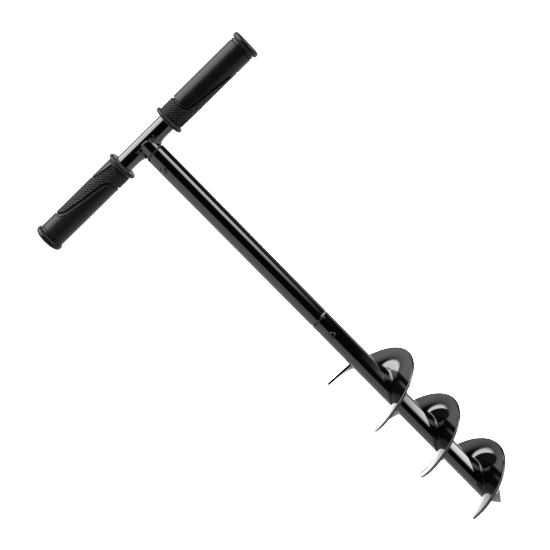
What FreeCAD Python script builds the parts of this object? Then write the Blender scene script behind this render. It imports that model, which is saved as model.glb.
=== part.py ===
import FreeCAD, Part
import math
import os

# A hand-turned auger: a T-handle with moulded rubber grips, a plain extension tube and an auger
# tube with a three-turn flight and a pointed pilot. The three sections plug into each other and
# each plug is held by a sprung snap button. Sizes are in millimetres. The point of the pilot is
# the origin, +Z runs up the shaft and X runs along the handlebar.

# ---- driving sizes ----
SHAFT_DIAMETER = 25.4
SHAFT_WALL = 1.5
AUGER_TUBE_BOTTOM = 18.0
AUGER_TUBE_TOP = 326.0
EXTENSION_TOP = 600.0
NECK_LENGTH = 45.0
NECK_CLEARANCE = 0.3
EXTENSION_SHOULDER_GAP = 0.9
EXTENSION_SHOULDER_DEPTH = 1.7
EXTENSION_SHOULDER_LENGTH = 3.6
STEM_SHOULDER_GAP = 0.35
STEM_SHOULDER_DEPTH = 1.2
STEM_SHOULDER_LENGTH = 1.2
RIM_BEVEL = 0.9

BAR_DIAMETER = 22.2
BAR_WALL = 1.5
STEM_SHOWING = 3.0
HANDLE_LENGTH = 323.0
BARE_MIDDLE = 70.0
GRIP_END_THICKNESS = 4.0
GRIP_FIT = 0.05
GRIP_BODY_RADIUS = 16.0
GRIP_FLANGE_RADIUS = 19.0
GRIP_FLANGE_THICKNESS = 5.5
GRIP_FLANGE_ROUNDING = 2.4
GRIP_KNOB_RADIUS = 18.0
GRIP_KNOB_THICKNESS = 7.5
GRIP_KNOB_ROUNDING = 2.4
GRIP_GROOVE_WIDTH = 2.2
GRIP_GROOVE_DEPTH = 1.2

FLIGHT_RADIUS = 48.9
FLIGHT_PITCH = 81.9
FLIGHT_TOP = 259.7
FLIGHT_TURNS = 2.865
FLIGHT_THICKNESS = 3.0
FLIGHT_TOP_ANGLE = 180.0
SPLICE_GAP = 1.8
SPLICE_CROWN = 0.7
ROOT_BEAD = 4.0
ROOT_GAP = 0.03

PILOT_BAR = 12.7
PILOT_POINT_HEIGHT = 11.6
PILOT_INSIDE = 24.0
PILOT_RIDGE_ANGLE = -85.0
PILOT_WELD_BOTTOM = 11.2

SADDLE_WELD_REACH = 9.0
SADDLE_WELD_DROP = 2.3
SADDLE_WELD_LAYER = 2.6
COPE_RADIUS = 14.0
WELD_GAP = 0.06

BUTTON_DIAMETER = 7.4
BUTTON_HOLE = 8.6
BUTTON_STANDS_OUT = 1.2
BUTTON_DOME = 1.2
UPPER_BUTTON_BELOW_RIM = 21.8
LOWER_BUTTON_BELOW_RIM = 21.2
UPPER_BUTTON_ANGLE = -118.0
LOWER_BUTTON_ANGLE = -92.0
SPRING_STRIP = 0.8
SPRING_WIDTH = 5.6
SPRING_LEAF = 21.0
SPRING_TAIL = 6.0
SPRING_BEND = 0.8
SPRING_WALL_GAP = 0.15
SPRING_LEG_GAP = 0.1

# ---- sizes that follow ----
SHAFT_RADIUS = SHAFT_DIAMETER / 2
BORE_RADIUS = SHAFT_RADIUS - SHAFT_WALL
NECK_RADIUS = BORE_RADIUS - NECK_CLEARANCE
NECK_BORE = NECK_RADIUS - SHAFT_WALL
BAR_RADIUS = BAR_DIAMETER / 2
BAR_HEIGHT = EXTENSION_TOP + STEM_SHOWING + BAR_RADIUS
GRIP_INNER_END = BARE_MIDDLE / 2
BAR_HALF = HANDLE_LENGTH / 2 - GRIP_END_THICKNESS - GRIP_FIT
FULL_TURN = 360.0

V = FreeCAD.Vector
UP = V(0, 0, 1)
ALONG_BAR = V(1, 0, 0)
ORIGIN = V(0, 0, 0)


def save(shape, name):
    shape.exportStep("parts/" + name + ".step")


def about_shaft(points):
    """A solid turned about the shaft from (radius, height) points."""
    corners = [V(radius, 0, height) for radius, height in points]
    face = Part.Face(Part.makePolygon(corners + corners[:1]))
    return face.revolve(ORIGIN, UP, FULL_TURN)


def about_bar(points):
    """A solid turned about the handlebar from (distance along, radius) points."""
    corners = [V(along, 0, radius) for along, radius in points]
    face = Part.Face(Part.makePolygon(corners + corners[:1]))
    solid = face.revolve(ORIGIN, ALONG_BAR, FULL_TURN)
    solid.translate(V(0, 0, BAR_HEIGHT))
    return solid


def corner_arc(centre, radius, first, last, steps=6):
    """Points on a rounded corner, from one angle to another in degrees."""
    angles = [math.radians(first + (last - first) * n / steps) for n in range(steps + 1)]
    return [(centre[0] + radius * math.cos(a), centre[1] + radius * math.sin(a)) for a in angles]


def bar_cylinder(radius, half_length):
    return Part.makeCylinder(radius, 2 * half_length, V(-half_length, 0, BAR_HEIGHT), ALONG_BAR)


def swaged_section(bottom, top, shoulder, shoulder_depth, shoulder_length):
    """A tube whose lower end is squeezed down to a neck that plugs into the tube below.

    The full-size part ends in a rounded shoulder just above the rim it sits on. The shoulder is a
    quarter of an ellipse, with its depth inwards and its length along the tube. The cut rim at
    the top is bevelled outside.
    """
    inner_shoulder = shoulder + SHAFT_WALL
    rounding = [
        (SHAFT_RADIUS - shoulder_depth * (1 - out), shoulder + shoulder_length * (1 + along))
        for out, along in corner_arc((0, 0), 1, -90, 0)
    ]
    outline = [(NECK_BORE, bottom), (NECK_RADIUS, bottom), (NECK_RADIUS, shoulder)]
    outline += rounding + [(SHAFT_RADIUS, top - RIM_BEVEL), (SHAFT_RADIUS - RIM_BEVEL, top)]
    outline += [(BORE_RADIUS, top), (BORE_RADIUS, inner_shoulder + SHAFT_WALL),
                (NECK_BORE, inner_shoulder)]
    return about_shaft(outline)


def sideways(shape, angle, height):
    """Stand a shape made along X from the shaft's axis at an angle and a height."""
    shape.rotate(ORIGIN, UP, angle)
    shape.translate(V(0, 0, height))
    return shape


def button_hole(angle, height):
    hole = Part.makeCylinder(BUTTON_HOLE / 2, 2 * SHAFT_RADIUS, ORIGIN, ALONG_BAR)
    return sideways(hole, angle, height)


# ---- shaft sections ----
upper_button_height = EXTENSION_TOP - UPPER_BUTTON_BELOW_RIM
lower_button_height = AUGER_TUBE_TOP - LOWER_BUTTON_BELOW_RIM

auger_tube = about_shaft([
    (BORE_RADIUS, AUGER_TUBE_BOTTOM), (SHAFT_RADIUS, AUGER_TUBE_BOTTOM),
    (SHAFT_RADIUS, AUGER_TUBE_TOP), (BORE_RADIUS, AUGER_TUBE_TOP),
]).cut(button_hole(LOWER_BUTTON_ANGLE, lower_button_height))

extension_tube = swaged_section(
    AUGER_TUBE_TOP - NECK_LENGTH, EXTENSION_TOP, AUGER_TUBE_TOP + EXTENSION_SHOULDER_GAP,
    EXTENSION_SHOULDER_DEPTH, EXTENSION_SHOULDER_LENGTH)
extension_tube = extension_tube.cut(button_hole(LOWER_BUTTON_ANGLE, lower_button_height))
extension_tube = extension_tube.cut(button_hole(UPPER_BUTTON_ANGLE, upper_button_height))

# ---- handle: bar, coped stem and saddle weld ----
handlebar_tube = bar_cylinder(BAR_RADIUS, BAR_HALF).cut(
    bar_cylinder(BAR_RADIUS - BAR_WALL, BAR_HALF + BAR_WALL)
)

# the stem's top is cut to straddle the bar, with an arch left standing at the front and back
stem_top = BAR_HEIGHT + SHAFT_WALL
handle_stem = swaged_section(
    EXTENSION_TOP - NECK_LENGTH, stem_top, EXTENSION_TOP + STEM_SHOULDER_GAP,
    STEM_SHOULDER_DEPTH, STEM_SHOULDER_LENGTH)
arch = Part.makeCylinder(
    COPE_RADIUS, 2 * SHAFT_DIAMETER, V(0, -SHAFT_DIAMETER, stem_top - COPE_RADIUS), V(0, 1, 0)
)
below_arch = Part.makeCylinder(SHAFT_DIAMETER, stem_top - COPE_RADIUS - EXTENSION_TOP + NECK_LENGTH,
                               V(0, 0, EXTENSION_TOP - NECK_LENGTH))
handle_stem = handle_stem.common(arch.fuse(below_arch))
handle_stem = handle_stem.cut(bar_cylinder(BAR_RADIUS + WELD_GAP, SHAFT_DIAMETER))
handle_stem = handle_stem.cut(button_hole(UPPER_BUTTON_ANGLE, upper_button_height))

# a broad weld runs round the foot of the saddle, thick beside the stem and dying out on the bar
bar_underside = BAR_HEIGHT - BAR_RADIUS
weld_foot = bar_underside - SADDLE_WELD_DROP
flare_outer = SHAFT_RADIUS + SADDLE_WELD_REACH
flare = about_shaft([
    (SHAFT_RADIUS + WELD_GAP, weld_foot),
    (SHAFT_RADIUS + SADDLE_WELD_REACH * 0.16, weld_foot + SADDLE_WELD_DROP * 0.55),
    (SHAFT_RADIUS + SADDLE_WELD_REACH * 0.45, weld_foot + SADDLE_WELD_DROP * 0.88),
    (flare_outer, bar_underside + WELD_GAP),
    (flare_outer, bar_underside + SADDLE_WELD_DROP * 2),
    (SHAFT_RADIUS + WELD_GAP, bar_underside + SADDLE_WELD_DROP * 2),
])
stem_weld = flare.common(bar_cylinder(BAR_RADIUS + SADDLE_WELD_LAYER, flare_outer))
stem_weld = stem_weld.cut(bar_cylinder(BAR_RADIUS + WELD_GAP, flare_outer))

# ---- grips ----
# one moulding used twice: a flange to stop the hand, a round body, a groove and an end knob
bore = BAR_RADIUS + GRIP_FIT
inner = GRIP_INNER_END
outer = HANDLE_LENGTH / 2
flange_outer = inner + GRIP_FLANGE_THICKNESS
knob_inner = outer - GRIP_KNOB_THICKNESS
groove_radius = GRIP_BODY_RADIUS - GRIP_GROOVE_DEPTH
outline = [(inner, bore)]
outline += corner_arc((inner + GRIP_FLANGE_ROUNDING, GRIP_FLANGE_RADIUS - GRIP_FLANGE_ROUNDING),
                      GRIP_FLANGE_ROUNDING, 180, 90)
outline += corner_arc(
    (flange_outer - GRIP_FLANGE_ROUNDING, GRIP_FLANGE_RADIUS - GRIP_FLANGE_ROUNDING),
    GRIP_FLANGE_ROUNDING, 90, 0)
outline += [
    (flange_outer, GRIP_BODY_RADIUS - GRIP_GROOVE_DEPTH / 2),
    (flange_outer + GRIP_GROOVE_WIDTH, GRIP_BODY_RADIUS),
    (knob_inner - 2 * GRIP_GROOVE_WIDTH, GRIP_BODY_RADIUS + GRIP_GROOVE_DEPTH / 3),
    (knob_inner - GRIP_GROOVE_WIDTH, groove_radius),
    (knob_inner, groove_radius),
]
outline += corner_arc((knob_inner + GRIP_GROOVE_WIDTH, GRIP_KNOB_RADIUS - GRIP_GROOVE_WIDTH),
                      GRIP_GROOVE_WIDTH, 180, 90)
outline += corner_arc((outer - GRIP_KNOB_ROUNDING, GRIP_KNOB_RADIUS - GRIP_KNOB_ROUNDING),
                      GRIP_KNOB_ROUNDING, 90, 0)
outline += [(outer, 0), (outer - GRIP_END_THICKNESS, 0), (outer - GRIP_END_THICKNESS, bore)]
grip_right = about_bar(outline)
grip_left = grip_right.copy()
grip_left.rotate(ORIGIN, UP, FULL_TURN / 2)

# ---- snap buttons ----
# each button is drawn out of one leg of a bent spring strip; the other leg bears on the far wall


def block(e_from, e_to, z_from, z_to):
    return Part.makeBox(e_to - e_from, SPRING_WIDTH, z_to - z_from,
                        V(e_from, -SPRING_WIDTH / 2, z_from))


# a flat strip touches a round bore at its two edges
leaf_face = math.sqrt(NECK_BORE ** 2 - (SPRING_WIDTH / 2) ** 2) - SPRING_WALL_GAP
leaf_back = leaf_face - SPRING_STRIP
pivot = leaf_back - SPRING_BEND


def bend(side):
    """A quarter bend of the strip about the pivot line, on one side of the bore."""
    centre = V(side * pivot, -SPRING_WIDTH / 2, SPRING_LEAF)
    along = V(0, 1, 0)
    ring = Part.makeCylinder(SPRING_BEND + SPRING_STRIP, SPRING_WIDTH, centre, along)
    ring = ring.cut(Part.makeCylinder(SPRING_BEND, SPRING_WIDTH, centre, along))
    reach = SPRING_BEND + 2 * SPRING_STRIP
    start = side * pivot
    corner = block(min(start, start + side * reach), max(start, start + side * reach),
                   SPRING_LEAF, SPRING_LEAF + reach)
    return ring.common(corner)


def snap_clip(angle, height):
    """The back leg with its cross strip, and the leaf with its button."""
    cross = block(-pivot, pivot, SPRING_LEAF + SPRING_BEND,
                  SPRING_LEAF + SPRING_BEND + SPRING_STRIP)
    back = block(-leaf_face, -leaf_back, -SPRING_TAIL, SPRING_LEAF)
    spring = cross.fuse([back, bend(-1), bend(1)]).removeSplitter()
    leaf = block(leaf_back, leaf_face, -SPRING_TAIL, SPRING_LEAF - SPRING_LEG_GAP)
    crown = SHAFT_RADIUS + BUTTON_STANDS_OUT
    radius = BUTTON_DIAMETER / 2
    profile = [V(leaf_back, 0, 0), V(leaf_back, 0, radius), V(crown - BUTTON_DOME, 0, radius)]
    profile += [
        V(crown - BUTTON_DOME * (1 - math.sin(math.radians(a))), 0,
          radius * (0.35 + 0.65 * math.cos(math.radians(a))))
        for a in (15, 30, 45, 60, 75, 90)
    ]
    profile += [V(crown, 0, 0)]
    stud = Part.Face(Part.makePolygon(profile + profile[:1])).revolve(ORIGIN, ALONG_BAR, FULL_TURN)
    button = leaf.fuse(stud).removeSplitter()
    return sideways(spring, angle, height), sideways(button, angle, height)


upper_spring, upper_button = snap_clip(UPPER_BUTTON_ANGLE, upper_button_height)
lower_spring, lower_button = snap_clip(LOWER_BUTTON_ANGLE, lower_button_height)

# ---- flight ----
POINTS_PER_TURN = 36


def helical_bar(profile, first_turn, last_turn):
    """A bar that winds down the shaft between two turn counts, from (radius, height) corners."""
    steps = max(4, round(POINTS_PER_TURN * (last_turn - first_turn)))
    sections = []
    for n in range(steps + 1):
        turn = first_turn + (last_turn - first_turn) * n / steps
        angle = math.radians(FLIGHT_TOP_ANGLE - FULL_TURN * turn)
        centre = FLIGHT_TOP - FLIGHT_PITCH * turn
        corners = [V(radius * math.cos(angle), radius * math.sin(angle), centre + height)
                   for radius, height in profile]
        sections.append(Part.makePolygon(corners + corners[:1]))
    return Part.makeLoft(sections, True, False)


def blade(first_turn, last_turn, crown=0.0):
    half = FLIGHT_THICKNESS / 2 + crown
    root = SHAFT_RADIUS + ROOT_GAP
    rim = FLIGHT_RADIUS - crown
    return helical_bar([(root, -half), (rim, -half), (rim, half), (root, half)],
                       first_turn, last_turn)


# three stamped turns, butted end to end with a weld run across each joint
splice = SPLICE_GAP / (2 * math.pi * FLIGHT_RADIUS)
flight_upper = blade(0, 1 - splice / 2)
flight_middle = blade(1 + splice / 2, 2 - splice / 2)
flight_lower = blade(2 + splice / 2, FLIGHT_TURNS)
flight_splice_welds = Part.makeCompound([
    blade(turn - splice / 2, turn + splice / 2, SPLICE_CROWN) for turn in (1, 2)
])

# the root welds are fillet beads that follow the tube along both faces of the flight, and they
# stop short of each splice
bead_foot = FLIGHT_THICKNESS / 2 + 2 * ROOT_GAP
bead_root = SHAFT_RADIUS + ROOT_GAP
upper_bead = [(bead_root, bead_foot), (bead_root + ROOT_BEAD, bead_foot),
              (bead_root + ROOT_BEAD * 0.42, bead_foot + ROOT_BEAD * 0.42),
              (bead_root, bead_foot + ROOT_BEAD)]
lower_bead = [(radius, -height) for radius, height in reversed(upper_bead)]
bead_stop = 0.02
flight_root_welds = Part.makeCompound([
    helical_bar(bead, first + bead_stop, last - bead_stop)
    for first, last in ((0, 1), (1, 2), (2, FLIGHT_TURNS)) for bead in (upper_bead, lower_bead)
])

# ---- pilot ----
# a square bar with a four-sided point, welded into the mouth of the tube
half_bar = PILOT_BAR / 2
pilot_top = AUGER_TUBE_BOTTOM + PILOT_INSIDE
shank = Part.makeBox(PILOT_BAR, PILOT_BAR, pilot_top - PILOT_POINT_HEIGHT,
                     V(-half_bar, -half_bar, PILOT_POINT_HEIGHT))
base = [V(x * half_bar, y * half_bar, PILOT_POINT_HEIGHT)
        for x, y in ((-1, -1), (1, -1), (1, 1), (-1, 1))]
sides = [Part.Face(Part.makePolygon([one, other, ORIGIN, one]))
         for one, other in zip(base, base[1:] + base[:1])]
sides.append(Part.Face(Part.makePolygon(base + base[:1])))
point = Part.makeSolid(Part.makeShell(sides))
if point.Volume < 0:
    point.reverse()
pilot_point = shank.fuse(point).removeSplitter()
square_corner = 45.0
pilot_point.rotate(ORIGIN, UP, PILOT_RIDGE_ANGLE + square_corner)

weld_inside = BORE_RADIUS - WELD_GAP
weld_lip = AUGER_TUBE_BOTTOM - WELD_GAP
pilot_weld = about_shaft([
    (0, PILOT_WELD_BOTTOM), (half_bar * 1.33, PILOT_WELD_BOTTOM),
    (half_bar * 1.52, PILOT_WELD_BOTTOM + 2.2),
    (SHAFT_RADIUS - 1.6, weld_lip - 2.0), (SHAFT_RADIUS - 0.4, weld_lip),
    (weld_inside, weld_lip), (weld_inside, weld_lip + 4.0), (0, weld_lip + 4.0),
]).cut(pilot_point)

# ---- write every piece ----
os.makedirs("parts", exist_ok=True)
pieces = {
    "handlebar_tube": handlebar_tube, "grip_left": grip_left, "grip_right": grip_right,
    "handle_stem": handle_stem, "stem_weld": stem_weld,
    "upper_snap_spring": upper_spring, "upper_snap_button": upper_button,
    "extension_tube": extension_tube,
    "lower_snap_spring": lower_spring, "lower_snap_button": lower_button,
    "auger_tube": auger_tube,
    "flight_upper": flight_upper, "flight_middle": flight_middle, "flight_lower": flight_lower,
    "flight_splice_welds": flight_splice_welds, "flight_root_welds": flight_root_welds,
    "pilot_point": pilot_point, "pilot_weld": pilot_weld,
}
for name, shape in pieces.items():
    save(shape, name)
    box = shape.BoundBox
    print("%-20s solids %d valid %s volume %9.1f  x %.1f..%.1f y %.1f..%.1f z %.1f..%.1f" % (
        name, len(shape.Solids), shape.isValid(), shape.Volume,
        box.XMin, box.XMax, box.YMin, box.YMax, box.ZMin, box.ZMax))
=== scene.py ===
import math

import bmesh
import bpy
import numpy as np
from mathutils import Matrix


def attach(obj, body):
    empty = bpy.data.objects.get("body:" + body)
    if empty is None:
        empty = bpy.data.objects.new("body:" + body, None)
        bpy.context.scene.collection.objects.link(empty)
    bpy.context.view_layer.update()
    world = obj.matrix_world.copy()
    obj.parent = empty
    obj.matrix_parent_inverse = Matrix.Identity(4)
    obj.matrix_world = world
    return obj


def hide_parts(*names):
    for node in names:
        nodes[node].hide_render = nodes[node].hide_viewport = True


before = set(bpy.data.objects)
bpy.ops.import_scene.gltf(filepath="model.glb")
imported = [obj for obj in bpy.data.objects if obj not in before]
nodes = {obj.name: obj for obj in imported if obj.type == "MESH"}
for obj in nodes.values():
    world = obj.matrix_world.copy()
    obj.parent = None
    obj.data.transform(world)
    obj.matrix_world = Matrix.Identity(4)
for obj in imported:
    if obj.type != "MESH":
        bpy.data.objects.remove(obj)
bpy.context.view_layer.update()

# ---------------------------------------------------------------------------------------------
# Auger tube. Plain drawn steel tube, 25.4 mm across, that carries the flight. It is enamelled in
# gloss black after welding, so every steel piece of the shaft has the same skin of paint.
# ---------------------------------------------------------------------------------------------
MM = 0.001
TUBE_RADIUS = 12.7
ENAMEL_BLACK = "050506"


def linear(code):
    """The linear colour of an sRGB hex code, with full alpha."""
    levels = np.array([int(code[n:n + 2], 16) for n in (0, 2, 4)]) / 255
    bright = ((levels + 0.055) / 1.055) ** 2.4
    return (*np.where(levels <= 0.04045, levels / 12.92, bright).tolist(), 1.0)


def add(tree, kind, links=None, **settings):
    """Adds a node, sets its properties or input values by name, and links its inputs."""
    made = tree.nodes.new(kind)
    for name, value in settings.items():
        if hasattr(made, name) and name not in made.inputs:
            setattr(made, name, value)
        else:
            made.inputs[name.replace("_", " ")].default_value = value
    for name, source in (links or {}).items():
        tree.links.new(source, made.inputs[name])
    return made


def new_material(name):
    """An empty material with its Principled shader linked to the output."""
    made = bpy.data.materials.new(name)
    made.use_nodes = True
    tree = made.node_tree
    tree.nodes.clear()
    shader = add(tree, "ShaderNodeBsdfPrincipled")
    output = add(tree, "ShaderNodeOutputMaterial", {"Surface": shader.outputs["BSDF"]})
    output.is_active_output = True
    return made, tree, shader


# Baked enamel over steel: a deep gloss that mirrors the room, with a faint orange-peel ripple
# about 3 mm across left by the spray, and hazier patches a few centimetres across from handling.
HAZE_ACROSS = 30.0
PEEL_ACROSS = 3.0
PEEL_HEIGHT = 0.02
gloss_enamel, tree, shader = new_material("gloss_black_baked_enamel")
shader.inputs["Base Color"].default_value = linear(ENAMEL_BLACK)
shader.inputs["IOR"].default_value = 1.54
where = add(tree, "ShaderNodeTexCoord")
haze = add(tree, "ShaderNodeTexNoise", {"Vector": where.outputs["Object"]},
           Scale=1 / (HAZE_ACROSS * MM), Detail=3.0)
rough = add(tree, "ShaderNodeMapRange", {"Value": haze.outputs["Fac"]}, From_Min=0.35,
            From_Max=0.7, To_Min=0.035, To_Max=0.075)
tree.links.new(rough.outputs["Result"], shader.inputs["Roughness"])
peel = add(tree, "ShaderNodeTexNoise", {"Vector": where.outputs["Object"]},
           Scale=1 / (PEEL_ACROSS * MM), Detail=1.0)
ripple = add(tree, "ShaderNodeBump", {"Height": peel.outputs["Fac"]}, Strength=0.2,
             Distance=PEEL_HEIGHT * MM)
tree.links.new(ripple.outputs["Normal"], shader.inputs["Normal"])


def paint_node(name, finish):
    """Gives a CAD node one material."""
    mesh = nodes[name].data
    mesh.materials.clear()
    mesh.materials.append(finish)


paint_node("auger_tube", gloss_enamel)

# ---------------------------------------------------------------------------------------------
# Flight. Three stamped steel turns, 3 mm thick and 97.8 mm across, pulled out into a right-hand
# spiral and butted end to end, with the sheared rim left slightly rounded.
# ---------------------------------------------------------------------------------------------
FLIGHT_RADIUS = 48.9
FLIGHT_PITCH = 81.9
FLIGHT_TOP = 259.7
FLIGHT_TURNS = 2.865
FLIGHT_HALF = 1.5
FLIGHT_STEPS = 180
ROOT_GAP = 0.03
RIM_ROUNDING = 0.9
SPLICE_GAP = 1.8
SPLICE_TURN = SPLICE_GAP / (2 * math.pi * FLIGHT_RADIUS)
MERGE_DISTANCE = 1e-7


def surface(name, grid, finish, smooth_angle=40.0, caps=True):
    """A closed mesh from a grid of points in millimetres, shaped (rows, columns, 3).

    Columns run round the piece and join up; rows run along it. Each end row is closed with a
    face, unless caps is off because the row is already a point.
    """
    rows, columns = grid.shape[:2]
    points = grid.reshape(-1, 3) * MM
    index = np.arange(rows * columns).reshape(rows, columns)
    beside = np.roll(index, -1, axis=1)
    quads = np.stack([index[:-1], beside[:-1], beside[1:], index[1:]], axis=-1).reshape(-1, 4)
    faces = quads.tolist()
    if caps:
        faces += [index[0][::-1].tolist(), index[-1].tolist()]
    mesh = bpy.data.meshes.new(name)
    mesh.from_pydata(points.tolist(), [], faces)
    tidy_mesh(mesh)
    mesh.shade_smooth()
    mesh.set_sharp_from_angle(angle=math.radians(smooth_angle))
    mesh.materials.append(finish)
    made = bpy.data.objects.new(name, mesh)
    bpy.context.scene.collection.objects.link(made)
    return made


def tidy_mesh(mesh):
    """Merges points that coincide, as at a pole, and turns every face outwards."""
    work = bmesh.new()
    work.from_mesh(mesh)
    bmesh.ops.remove_doubles(work, verts=work.verts, dist=MERGE_DISTANCE)
    bmesh.ops.recalc_face_normals(work, faces=work.faces)
    work.to_mesh(mesh)
    work.free()
    mesh.update()


def wound(profile, first, last):
    """A profile of (radius, height) points carried down the spiral between two turn counts.

    The angle goes back from half a turn by one turn for each turn wound, and the height falls
    by the pitch.
    """
    count = round(FLIGHT_STEPS * (last - first))
    turn = np.linspace(first, last, count + 1)[:, None]
    radius, height = (np.array(p)[None, :] for p in zip(*profile))
    angle = np.pi - 2 * np.pi * turn + 0 * radius
    radius = radius + 0 * turn
    return np.stack([radius * np.cos(angle), radius * np.sin(angle),
                     FLIGHT_TOP - FLIGHT_PITCH * turn + height], axis=-1)


def blade_profile():
    """The strip's section from the tube out to the rim and back, lower face first. The rim is a
    half round: as wide as its rounding times the cosine, and as high as half the strip times the
    mean of the sine and its cube, which leaves it flatter at the corners."""
    rim = FLIGHT_RADIUS - RIM_ROUNDING
    out = np.linspace(TUBE_RADIUS + ROOT_GAP, rim, 14)
    turn = np.radians(np.linspace(-90, 90, 9))
    lower = [(radius, -FLIGHT_HALF) for radius in out]
    edge = [(rim + RIM_ROUNDING * np.cos(a), FLIGHT_HALF * (np.sin(a) + np.sin(a) ** 3) / 2)
            for a in turn[1:-1]]
    upper = [(radius, FLIGHT_HALF) for radius in out[::-1]]
    return lower + edge + upper


for name, first, last in (("flight_upper", 0.0, 1 - SPLICE_TURN / 2),
                          ("flight_middle", 1 + SPLICE_TURN / 2, 2 - SPLICE_TURN / 2),
                          ("flight_lower", 2 + SPLICE_TURN / 2, FLIGHT_TURNS)):
    blade = surface(name + "_blade", wound(blade_profile(), first, last), gloss_enamel)
    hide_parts(name)
    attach(blade, "auger_section")

# ---------------------------------------------------------------------------------------------
# Flight welds. Each turn is stitched to the tube: a broad fillet along its upper face over the
# back half of the turn, thinning to a smear round the front, and a lumpy one underneath. A short
# bead closes the butt joint between turns. The enamel covers them all.
# ---------------------------------------------------------------------------------------------
BEAD_SIZE = 4.0
BEAD_STEP = 2.6
BEAD_GAP = 0.05
BEAD_HOLLOW = 0.92
STITCH_END = 0.66
STITCH_FADE = 0.12
STITCH_THIN = 0.18
BEAD_STOP = 0.02
BEAD_STEPS = 420


def smooth_step(x):
    """0 below 0, 1 above 1, with the S curve of three squares less two cubes between."""
    x = np.clip(x, 0, 1)
    return x * x * (3 - 2 * x)


def root_bead(first, last, face):
    """A fillet along the tube. Its section is a quarter circle pulled in towards the corner, and
    its size is the bead size times a fade round the turn (above) or slow lumps (below), and a
    small weld ripple, dying out at both ends."""
    count = int(BEAD_STEPS * (last - first))
    turn = np.linspace(first, last, count + 1)[:, None]
    wave = np.sin(turn * 4 * math.pi ** 2 * TUBE_RADIUS / BEAD_STEP)
    if face > 0:
        stitch = smooth_step((STITCH_END - turn % 1.0) / STITCH_FADE)
        size = BEAD_SIZE * (STITCH_THIN + (1 - STITCH_THIN) * stitch) * (0.92 + 0.024 * wave)
    else:
        lumps = np.sin(turn * 61.0) * np.sin(turn * 37.0)
        size = BEAD_SIZE * (0.84 + 0.06 * wave + 0.12 * lumps)
    size = size * np.sqrt(np.clip(np.minimum(turn - first, last - turn) / 0.04, 0.01, 1))
    sweep = np.radians(np.linspace(0, 90, 10))[None, :]
    out = np.concatenate([0 * size, size * (1 - BEAD_HOLLOW * np.sin(sweep))], axis=1)
    rise = np.concatenate([0 * size, size * (1 - BEAD_HOLLOW * np.cos(sweep))], axis=1)
    angle = np.pi - 2 * np.pi * turn + 0 * out
    radius = TUBE_RADIUS + BEAD_GAP + out
    level = FLIGHT_TOP - FLIGHT_PITCH * turn + face * (FLIGHT_HALF + BEAD_GAP + rise)
    return np.stack([radius * np.cos(angle), radius * np.sin(angle), level], axis=-1)


root_parts = [surface("root_bead", root_bead(first, last, face), gloss_enamel, 60.0)
              for first, last in ((BEAD_STOP, 1 - BEAD_STOP), (1 + BEAD_STOP, 2 - BEAD_STOP),
                                  (2 + BEAD_STOP, FLIGHT_TURNS - BEAD_STOP))
              for face in (1, -1)]


def joined(name, parts):
    """One object from several, keeping the meshes where they are."""
    work = bmesh.new()
    for part in parts:
        work.from_mesh(part.data)
    mesh = bpy.data.meshes.new(name)
    work.to_mesh(mesh)
    work.free()
    mesh.materials.append(parts[0].data.materials[0])
    for part in parts:
        bpy.data.meshes.remove(part.data)
    made = bpy.data.objects.new(name, mesh)
    bpy.context.scene.collection.objects.link(made)
    return made


root_beads = joined("flight_root_beads", root_parts)
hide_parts("flight_root_welds")
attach(root_beads, "auger_section")


SPLICE_HALF = 2.0
SPLICE_CROWN = 0.55


def splice_bead(turn):
    """A rounded bead from the tube to the rim along one butt joint. Its section is an ellipse,
    leaning with the spiral and crowned over both faces, times a weld ripple and a fade at the
    ends of the run."""
    along = np.linspace(0, 1, 90)[:, None]
    round_it = np.radians(np.linspace(0, 360, 24, endpoint=False))[None, :]
    wave = 1 + 0.12 * np.sin(along * 2 * np.pi * 36 / BEAD_STEP)
    fade = np.sqrt(np.clip(1 - (2 * along - 1) ** 16, 0, 1))
    radius = TUBE_RADIUS + 0.5 + along * (FLIGHT_RADIUS - TUBE_RADIUS - 1.4)
    across = SPLICE_HALF * wave * fade * np.cos(round_it)
    height = (FLIGHT_HALF + SPLICE_CROWN) * wave * fade * np.sin(round_it)
    angle = np.pi - 2 * np.pi * turn
    slope = FLIGHT_PITCH / (2 * np.pi * radius)
    lean = np.sqrt(1 + slope ** 2)
    side, up = across / lean, across / lean * slope + height
    x = radius * math.cos(angle) - side * math.sin(angle)
    y = radius * math.sin(angle) + side * math.cos(angle)
    return np.stack([x, y, FLIGHT_TOP - FLIGHT_PITCH * turn + up], axis=-1)


splices = joined("flight_splice_beads", [
    surface("splice", splice_bead(turn), gloss_enamel, 60.0) for turn in (1, 2)])
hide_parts("flight_splice_welds")
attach(splices, "auger_section")

# ---------------------------------------------------------------------------------------------
# Pilot. A square steel bar ground to a four-sided point and welded into the tube's mouth. The
# paint is thin there, so it shows as dull dark steel with grinding marks and bright scuffs.
# ---------------------------------------------------------------------------------------------
GROUND_STEEL = "6E6F73"
SCALE_STEEL = "2C2C2F"
MARKS_ACROSS = 1.5
MARKS_DEPTH = 0.08
MARKS_SQUASH = 6
WELD_OUTLINE = [(4.0, 12.6), (7.6, 11.7), (9.0, 12.2), (9.9, 13.8), (11.2, 16.2), (12.3, 17.7),
                (11.8, 18.0), (4.0, 18.0)]
WELD_LUMP = 0.42

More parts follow.
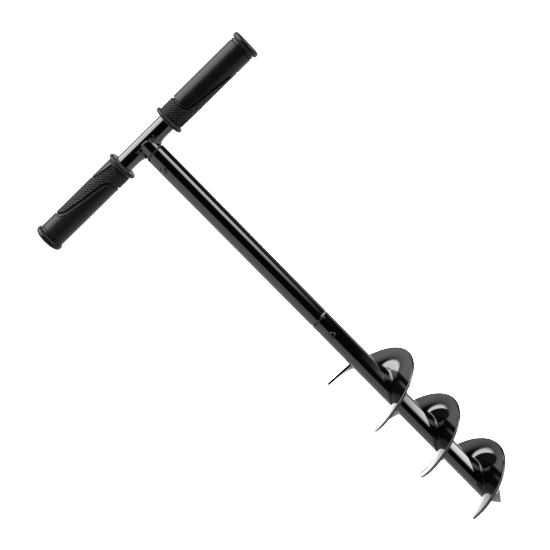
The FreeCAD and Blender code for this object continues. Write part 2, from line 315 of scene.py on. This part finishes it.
# Mild steel off the grinder with a thin coat over it: dark mill scale and paint between pale
# ground marks about 1.5 mm across, drawn out round the bar.
ground_steel, tree, shader = new_material("ground_mild_steel_under_thin_paint")
where = add(tree, "ShaderNodeTexCoord")
stretch = add(tree, "ShaderNodeMapping", {"Vector": where.outputs["Object"]})
stretch.inputs["Scale"].default_value = (1, 1, MARKS_SQUASH)
marks = add(tree, "ShaderNodeTexNoise", {"Vector": stretch.outputs["Vector"]},
            Scale=1 / (MARKS_ACROSS * MM), Detail=6.0, Roughness=0.7)
tone = add(tree, "ShaderNodeValToRGB", {"Fac": marks.outputs["Fac"]})
tone.color_ramp.elements[0].position = 0.3
tone.color_ramp.elements[0].color = linear(SCALE_STEEL)
tone.color_ramp.elements[1].position = 0.72
tone.color_ramp.elements[1].color = linear(GROUND_STEEL)
tree.links.new(tone.outputs["Color"], shader.inputs["Base Color"])
shader.inputs["Metallic"].default_value = 0.85
rough = add(tree, "ShaderNodeMapRange", {"Value": marks.outputs["Fac"]}, To_Min=0.3, To_Max=0.6)
tree.links.new(rough.outputs["Result"], shader.inputs["Roughness"])
scratch = add(tree, "ShaderNodeBump", {"Height": marks.outputs["Fac"]}, Strength=0.5,
              Distance=MARKS_DEPTH * MM)
tree.links.new(scratch.outputs["Normal"], shader.inputs["Normal"])
paint_node("pilot_point", ground_steel)


def rough_weld():
    """The weld's outline turned about the shaft, with its radius raised by three crossing waves
    that fade out towards the tube."""
    along = np.linspace(0, 1, 40)[:, None]
    turn = np.linspace(0, 2 * np.pi, 96, endpoint=False)[None, :]
    steps = np.linspace(0, 1, len(WELD_OUTLINE))
    outline_radius, outline_height = np.array(WELD_OUTLINE).T
    lumps = (0.5 * np.sin(7 * turn + 9 * along) + 0.35 * np.sin(13 * turn - 14 * along)
             + 0.3 * np.sin(19 * turn + 31 * along))
    raised = np.sin(np.pi * np.clip(along * 1.25, 0, 1)) ** 1.5 * WELD_LUMP
    radius = np.interp(along, steps, outline_radius) + raised * lumps
    height = np.interp(along, steps, outline_height) + 0 * turn
    return np.stack([radius * np.cos(turn), radius * np.sin(turn), height], axis=-1)


pilot_collar = surface("pilot_weld_collar", rough_weld(), ground_steel, 60.0)
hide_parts("pilot_weld")
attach(pilot_collar, "auger_section")

# ---------------------------------------------------------------------------------------------
# Extension tube. The same tube as below, with its lower end squeezed to a neck that plugs into
# the auger tube. Its top rim is bevelled. Painted with the same enamel.
# ---------------------------------------------------------------------------------------------
paint_node("extension_tube", gloss_enamel)

# ---------------------------------------------------------------------------------------------
# Snap clips. Spring steel strip bent double with a button drawn out of one leg, and held in the
# neck by its own spring. It is blackened in hot oil, so it is as dark as the paint round it.
# ---------------------------------------------------------------------------------------------
OIL_BLACK = "0A0A0B"
RUBBED_STEEL = "161618"
GRAIN_ACROSS = 1.2

# Oil-blackened steel: a smooth dark film, a little less glossy than the enamel, with paler rubbed
# grain about 1.2 mm across.
oil_black, tree, shader = new_material("oil_blackened_spring_steel")
where = add(tree, "ShaderNodeTexCoord")
grain = add(tree, "ShaderNodeTexNoise", {"Vector": where.outputs["Object"]},
            Scale=1 / (GRAIN_ACROSS * MM), Detail=4.0)
tone = add(tree, "ShaderNodeValToRGB", {"Fac": grain.outputs["Fac"]})
tone.color_ramp.elements[0].position = 0.45
tone.color_ramp.elements[0].color = linear(OIL_BLACK)
tone.color_ramp.elements[1].position = 0.8
tone.color_ramp.elements[1].color = linear(RUBBED_STEEL)
tree.links.new(tone.outputs["Color"], shader.inputs["Base Color"])
shader.inputs["Roughness"].default_value = 0.16
for name in ("lower_snap_spring", "lower_snap_button", "upper_snap_spring", "upper_snap_button"):
    paint_node(name, oil_black)

# ---------------------------------------------------------------------------------------------
# Handle stem and bar. The stem's top is cut to straddle the cross tube and welded all round. The
# weld is broad and smooth where it runs out under the bar, and it is enamelled with the rest.
# ---------------------------------------------------------------------------------------------
BAR_RADIUS = 11.1
BAR_HEIGHT = 614.1
STEM_WALL = 1.5
STEM_TOP = BAR_HEIGHT + STEM_WALL
SADDLE_ROUND = 0.97
SADDLE_REACH = 8.6
SADDLE_DROP = 2.3
SADDLE_STEP = 2.4
ARCH_RADIUS = 14.0
ARCH_BEAD = 0.85
ARCH_SINK = 0.2
paint_node("handle_stem", gloss_enamel)
paint_node("handlebar_tube", gloss_enamel)


def saddle_fillet(side):
    """A concave fillet between stem and bar. For each angle round the stem it runs from a point
    on the stem, along a curve pulled to the corner, to a point on the bar, and back behind."""
    reach = math.asin(BAR_RADIUS * SADDLE_ROUND / TUBE_RADIUS)
    angle = np.linspace(-reach, reach, 120)[:, None]
    fade = np.sqrt(np.clip(1 - (angle / reach) ** 2, 0, 1))
    beads = 1 + 0.05 * np.sin(angle * TUBE_RADIUS * 2 * np.pi / SADDLE_STEP)
    spread = (SADDLE_REACH * fade ** 1.5 + 0.02) * beads
    drop = (SADDLE_DROP * fade ** 0.7 + 0.02) * beads

    def on_bar(radius):
        across = np.clip(radius * np.sin(angle), -BAR_RADIUS, BAR_RADIUS)
        return BAR_HEIGHT - np.sqrt(BAR_RADIUS ** 2 - across ** 2)

    v = np.linspace(0, 1, 12)[None, :]
    start_r, start_z = TUBE_RADIUS + 0 * drop, on_bar(TUBE_RADIUS) - drop
    bend_r, bend_z = TUBE_RADIUS + 0.5 + 0 * drop, on_bar(TUBE_RADIUS) - 0.4
    end_r, end_z = TUBE_RADIUS + spread, on_bar(TUBE_RADIUS + spread)
    front_r = (1 - v) ** 2 * start_r + 2 * v * (1 - v) * bend_r + v ** 2 * end_r
    front_z = (1 - v) ** 2 * start_z + 2 * v * (1 - v) * bend_z + v ** 2 * end_z
    back_r = np.concatenate([end_r - 0.2, TUBE_RADIUS - 0.3 + 0 * drop], axis=1)
    back_z = np.concatenate([end_z + 0.5, on_bar(TUBE_RADIUS) + 0.5], axis=1)
    radius = np.concatenate([front_r, back_r], axis=1)
    height = np.concatenate([front_z, back_z], axis=1)
    return np.stack([side * radius * np.cos(angle), radius * np.sin(angle), height], axis=-1)


def beaded(path, size):
    """A round bead along a path of points round the shaft: each point plus its size times the
    cosine outwards and the sine sideways, square to the path."""
    ahead = np.gradient(path, axis=0)
    ahead /= np.linalg.norm(ahead, axis=1, keepdims=True)
    out = path * np.array([1, 1, 0])
    out /= np.linalg.norm(out, axis=1, keepdims=True)
    side = np.cross(ahead, out)
    turn = np.linspace(0, 2 * np.pi, 16, endpoint=False)[None, :, None]
    size = size[:, None, None]
    return (path[:, None, :] + size * np.cos(turn) * np.cross(side, ahead)[:, None, :]
            + size * np.sin(turn) * side[:, None, :])


def arch_bead(front):
    """The run of weld round the arch that stands up the bar's face. Round the stem it follows
    the line where stem and bar cross, then the arch's own round top."""
    angle = np.radians(np.linspace(-84, 84, 160))
    x, y = (TUBE_RADIUS - ARCH_SINK) * np.sin(angle), (TUBE_RADIUS - ARCH_SINK) * np.cos(angle)
    crossing = BAR_HEIGHT - np.sqrt(np.clip(BAR_RADIUS ** 2 - y ** 2, 0, None))
    top = STEM_TOP - ARCH_RADIUS + np.sqrt(ARCH_RADIUS ** 2 - x ** 2)
    z = np.where(y < BAR_RADIUS, np.minimum(crossing, top), top)
    z = np.convolve(np.pad(z, 4, mode="edge"), np.ones(9) / 9, mode="valid")
    along = np.linspace(0, 1, len(z))
    size = ARCH_BEAD * (1 + 0.16 * np.sin(angle * 34)) * np.sqrt(np.sin(np.pi * along) + 0.02)
    return beaded(np.stack([x, front * y, z - 0.35], axis=1), size)


saddle = joined("stem_saddle_weld",
                [surface("fillet", saddle_fillet(side), gloss_enamel, 60.0) for side in (-1, 1)]
                + [surface("arch", arch_bead(front), gloss_enamel, 60.0) for front in (-1, 1)])
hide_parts("stem_weld")
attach(saddle, "handle_section")

# ---------------------------------------------------------------------------------------------
# Grips. One rubber moulding used on both ends of the bar, turned over for the right hand. It has
# a flange, a knurled collar whose tongue runs out along the grip, a smooth palm panel inside a
# deep groove, a small smooth wedge on the tongue, two fine grooves and a rounded disc at the end.
# ---------------------------------------------------------------------------------------------
RUBBER_BLACK = "030305"
RUBBER_BLOOM = "08090C"
GRIP_START = 35.0
BODY_RADIUS = 16.0
TUCK_RADIUS = 15.2
GROOVE_DEPTH = 2.1
GROOVE_HALF = 1.5
WEDGE_GROOVE_HALF = 1.2
LIP_HEIGHT = 0.28
LIP_HALF = 0.75
KNURL_PITCH = 4.0
KNURL_DEPTH = 1.35
BODY_FIRST = 7.2
BODY_LAST = 117.6
FINE_RING_PLACE = 115.6
FINE_RING_DEPTH = 0.9
ROWS_ALONG = 332
ROWS_ROUND = 252
TONGUE_MIDDLE = 90.0
RIGHT_TWIST = -22.0
TONGUE = [(0.0, 260), (24.0, 200), (24.2, 125), (25.0, 106), (26.6, 97), (29.4, 91), (34.0, 87),
          (41.0, 83), (62.0, 74), (74.0, 66), (82.0, 62), (87.0, 56), (91.0, 46), (93.8, 34),
          (95.4, 18), (96.0, 0), (96.2, -60)]
WEDGE = [(0.0, 60), (7.0, 57), (16.0, 49), (30.0, 35), (33.0, 30), (35.3, 22), (36.6, 12),
         (37.0, 0), (37.1, -60)]
GRIP_FACE = [(0.0, 11.3), (0.0, 14.0)]
FLANGE_ROUND = (2.7, 16.3, 2.8, 2.7)
DISC_ROUND = (122.2, 14.8, 123.3, 3.2)
DISC_FACE = [(126.5, 14.4), (126.45, 13.2), (126.0, 12.7), (126.0, 8.0), (126.0, 3.0),
             (126.0, 0.0)]
FINE_GROOVE = [(117.9, 16.0), (118.1, 14.9), (118.9, 14.8)]
BLOOM_ACROSS = 18.0
PORES_ACROSS = 0.6
PORES_DEPTH = 0.008

# Moulded rubber: near black and soft matt with one broad sheen along the top, a fine grain about
# 0.6 mm across from the spark-eroded mould, and a faint grey-blue bloom in patches.
rubber, tree, shader = new_material("moulded_black_rubber")
where = add(tree, "ShaderNodeTexCoord")
bloom = add(tree, "ShaderNodeTexNoise", {"Vector": where.outputs["Object"]},
            Scale=1 / (BLOOM_ACROSS * MM), Detail=5.0)
tone = add(tree, "ShaderNodeValToRGB", {"Fac": bloom.outputs["Fac"]})
tone.color_ramp.elements[0].position = 0.35
tone.color_ramp.elements[0].color = linear(RUBBER_BLACK)
tone.color_ramp.elements[1].position = 0.75
tone.color_ramp.elements[1].color = linear(RUBBER_BLOOM)
tree.links.new(tone.outputs["Color"], shader.inputs["Base Color"])
shader.inputs["IOR"].default_value = 1.52
shader.inputs["Specular IOR Level"].default_value = 0.13
shader.inputs["Sheen Weight"].default_value = 0.08
shader.inputs["Sheen Roughness"].default_value = 0.4
rough = add(tree, "ShaderNodeMapRange", {"Value": bloom.outputs["Fac"]}, From_Min=0.3,
            From_Max=0.7, To_Min=0.30, To_Max=0.36)
tree.links.new(rough.outputs["Result"], shader.inputs["Roughness"])
fine = add(tree, "ShaderNodeTexNoise", {"Vector": where.outputs["Object"]},
           Scale=1 / (PORES_ACROSS * MM), Detail=2.0)
pores = add(tree, "ShaderNodeBump", {"Height": fine.outputs["Fac"]}, Strength=0.15,
            Distance=PORES_DEPTH * MM)
tree.links.new(pores.outputs["Normal"], shader.inputs["Normal"])


def half_round(first, low, last, size):
    """Points over a rounded rim: a quarter circle up, a flat, and a quarter circle down."""
    turn = np.radians(np.linspace(0, 90, 9))
    rise = [(first - size * math.cos(a), low + size * math.sin(a)) for a in turn]
    fall = [(last + size * math.sin(a), low + size * math.cos(a)) for a in turn]
    return rise + fall


def moulding(side, twist):
    """The moulding as a radius over distance from its inner face and angle round the bar.

    Its rows follow a plain outline. On the body, the distance to the outlines of the tongue and
    the wedge, in millimetres on the skin, cuts the grooves and raises their lips. Between the
    outlines the knurl is a lattice of pits: the square of the product of two crossing sine waves.
    """
    body = np.linspace(BODY_FIRST, BODY_LAST, ROWS_ALONG)
    outline = np.array(GRIP_FACE + half_round(*FLANGE_ROUND) + [(5.6, TUCK_RADIUS),
                       (6.4, TUCK_RADIUS)] + [(x, BODY_RADIUS) for x in body] + FINE_GROOVE
                       + half_round(*DISC_ROUND) + DISC_FACE)
    x, radius = outline[:, :1], outline[:, 1:]
    angle = np.linspace(-180, 180, ROWS_ROUND, endpoint=False)[None, :]
    off_middle = np.abs((angle - TONGUE_MIDDLE + 180) % 360 - 180)
    skin = math.radians(1) * BODY_RADIUS

    def inside(outline):
        """Millimetres inside a closed outline, minus outside: the distance to its nearest point,
        given as distance along and degrees either side of the tongue's middle."""
        along, reach = np.array(outline).T
        step = np.linspace(0, len(along) - 1, 12 * len(along))
        edge_x = np.interp(step, np.arange(len(along)), along)
        edge_off = np.interp(step, np.arange(len(along)), reach) * skin
        off = np.unique(off_middle) * skin
        apart = np.hypot(x[:, :, None] - edge_x, off[None, :, None] - edge_off).min(axis=2)
        apart *= np.where(off[None, :] < np.interp(x, along, reach) * skin, 1, -1)
        return apart[:, np.searchsorted(off, off_middle[0] * skin)]

    tongue = inside(TONGUE)
    wedge = inside(WEDGE)
    on_body = smooth_step((x - BODY_FIRST + 0.2) / 0.6) * (x < BODY_LAST + 0.1)
    knurled = smooth_step((tongue - 2.3) / 0.5) * smooth_step((-wedge - 2.3) / 0.5)
    count = 2 * round(math.pi * BODY_RADIUS / KNURL_PITCH)
    round_it, travel = np.radians(angle) * count / 2, x * math.pi / KNURL_PITCH
    pits = np.abs(np.sin(round_it + travel) * np.sin(round_it - travel)) ** 2
    groove = np.maximum(np.exp(-(tongue / GROOVE_HALF) ** 4),
                        np.exp(-((wedge + 0.3) / WEDGE_GROOVE_HALF) ** 4) * (tongue > 0))
    lip = (np.exp(-((np.abs(tongue) - GROOVE_HALF - 0.9) / LIP_HALF) ** 2)
           + np.exp(-((wedge + 2.3) / LIP_HALF) ** 2) * (tongue > 2))
    fine_ring = np.exp(-((x - FINE_RING_PLACE) / 0.45) ** 4)
    radius = radius + on_body * (LIP_HEIGHT * lip - KNURL_DEPTH * knurled * pits
                                 - GROOVE_DEPTH * groove - FINE_RING_DEPTH * fine_ring)
    turn = np.radians(side * -angle + twist)
    return np.stack([side * (GRIP_START + x) + 0 * radius, -radius * np.cos(turn),
                     BAR_HEIGHT + radius * np.sin(turn)], axis=-1)


for name, side, twist in (("grip_right", 1, RIGHT_TWIST), ("grip_left", -1, 0.0)):
    grip = surface(name + "_moulding", moulding(side, twist), rubber, 40.0)
    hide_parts(name)
    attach(grip, "handle_section")

# ---------------------------------------------------------------------------------------------
# Studio: a pale floor under the point and a plain white-walled room. A wide soft light hangs
# overhead, a soft panel stands to the left and a narrow one to the right, the table below is lit
# from the right, a white backdrop stands behind, and the camera's own side of the room is dark.
# ---------------------------------------------------------------------------------------------
CAMERA_PLACE = (199.03, -1244.92, 625.41)
CAMERA_LOOK = (-0.15608, 0.97212, -0.17498)
CAMERA_UP = (0.67444, 0.23432, 0.70016)
CAMERA_LENS = 71.75
CAMERA_SIDE = -80.9
FLOOR_GAP = 0.5

floor_mesh = bpy.data.meshes.new("studio_floor")
floor_mesh.from_pydata([(x, y, -FLOOR_GAP * MM) for x, y in ((-4, -2), (4, -2), (4, 6), (-4, 6))],
                       [], [(0, 1, 2, 3)])
pale, tree, shader = new_material("studio_floor_matt_white")
shader.inputs["Base Color"].default_value = linear("F4F4F4")
shader.inputs["Roughness"].default_value = 0.9
shader.inputs["Emission Color"].default_value = (1, 1, 1, 1)
shader.inputs["Emission Strength"].default_value = 0.7
floor_mesh.materials.append(pale)
floor = bpy.data.objects.new("studio_floor", floor_mesh)
bpy.context.scene.collection.objects.link(floor)
floor.visible_glossy = False
floor.visible_diffuse = False

world = bpy.data.worlds.new("studio_room")
bpy.context.scene.world = world
world.use_nodes = True
tree = world.node_tree
tree.nodes.clear()
where = add(tree, "ShaderNodeTexCoord")


def facing(compass, rising=0.0):
    """How far a ray points one way, from -1 to 1: the dot product with that direction, given by
    the degrees to the right of the camera, seen from the auger, and the degrees above level."""
    turn, lift = math.radians(CAMERA_SIDE + compass), math.radians(rising)
    dot = add(tree, "ShaderNodeVectorMath", {0: where.outputs["Generated"]},
              operation="DOT_PRODUCT")
    dot.inputs[1].default_value = (math.cos(turn) * math.cos(lift),
                                   math.sin(turn) * math.cos(lift), math.sin(lift))
    return dot.outputs["Value"]


def calculate(operation, one, other):
    """One sum of two values, either of which may be a number."""
    made = add(tree, "ShaderNodeMath", operation=operation)
    for socket, value in zip(made.inputs, (one, other)):
        if isinstance(value, (int, float)):
            socket.default_value = value
        else:
            tree.links.new(value, socket)
    return made.outputs["Value"]


def fade(value, low, high, bottom=0.0, top=1.0):
    """A smooth change from one level to another as a value goes between two marks."""
    made = add(tree, "ShaderNodeMapRange", {"Value": value}, From_Min=low, From_Max=high,
               To_Min=bottom, To_Max=top, interpolation_type="SMOOTHSTEP")
    return made.outputs["Result"]


def panel(*parts):
    """The product of several fades: where they overlap, the panel shines."""
    total = parts[0]
    for part in parts[1:]:
        total = calculate("MULTIPLY", total, part)
    return total


# Each panel is a brightness, faded in and out between two directions in degrees: round from the
# camera (compass, positive to the right) and above or below level (height).
compass = calculate("MULTIPLY", calculate("ARCTAN2", facing(90), facing(0)), 180 / math.pi)
height = calculate("MULTIPLY", calculate("ARCSINE", facing(0, 90), 0.0), 180 / math.pi)
overhead = panel(fade(facing(0, 84), 0.815, 0.875), 10.5)
left_panel = panel(fade(compass, -25, -36), fade(compass, -165, -80, 0.15, 1.0),
                   fade(height, -60, 8, 0.6, 1.75), fade(height, 45, 25))
right_panel = panel(fade(compass, 39, 49), fade(compass, 79, 67), fade(height, -14, -5),
                    fade(height, 45, 30), 9.3)
lit_table = panel(fade(compass, 22, 45), fade(compass, 112, 92), fade(height, -16.5, -22),
                  fade(height, -36, -29), 13.0)
back_level = calculate("MAXIMUM", fade(height, 28, 52, 0.75, 1.4), fade(height, 8, -8, 0.75, 1.5))
back_wall = panel(fade(facing(200), 0.25, 0.6), back_level)
backdrop = panel(fade(facing(191), 0.9, 0.96), fade(height, 24, 15), 2.4)
right_wall = panel(fade(compass, 95, 110), fade(compass, 160, 145),
                   fade(height, -2, -17, 0.05, 1.1), fade(height, 25, -5))
table = panel(fade(height, -38, -53), 1.5)
light = overhead
for part in (left_panel, right_panel, lit_table, back_wall, backdrop, right_wall, table):
    light = calculate("MAXIMUM", light, part)
seen = add(tree, "ShaderNodeLightPath")
plain = calculate("MAXIMUM", light, calculate("MULTIPLY", seen.outputs["Is Camera Ray"], 1.2))
room = add(tree, "ShaderNodeBackground", {"Strength": plain})
room.inputs["Color"].default_value = linear("FDFDFF")
add(tree, "ShaderNodeOutputWorld", {"Surface": room.outputs["Background"]})

camera_data = bpy.data.cameras.new("camera")
camera_data.lens = CAMERA_LENS
camera_data.sensor_width = 36.0
camera_data.clip_start = 0.01
camera = bpy.data.objects.new("camera", camera_data)
look, lift = np.array(CAMERA_LOOK), np.array(CAMERA_UP)
look /= np.linalg.norm(look)
lift -= look * (lift @ look)
lift /= np.linalg.norm(lift)
turn = np.stack([np.cross(look, lift), lift, -look], axis=1)
place = Matrix.Translation(np.array(CAMERA_PLACE) * MM)
camera.matrix_world = place @ Matrix(turn.tolist()).to_4x4()
bpy.context.scene.collection.objects.link(camera)
bpy.context.scene.camera = camera
bpy.context.scene.view_settings.view_transform = "Standard"
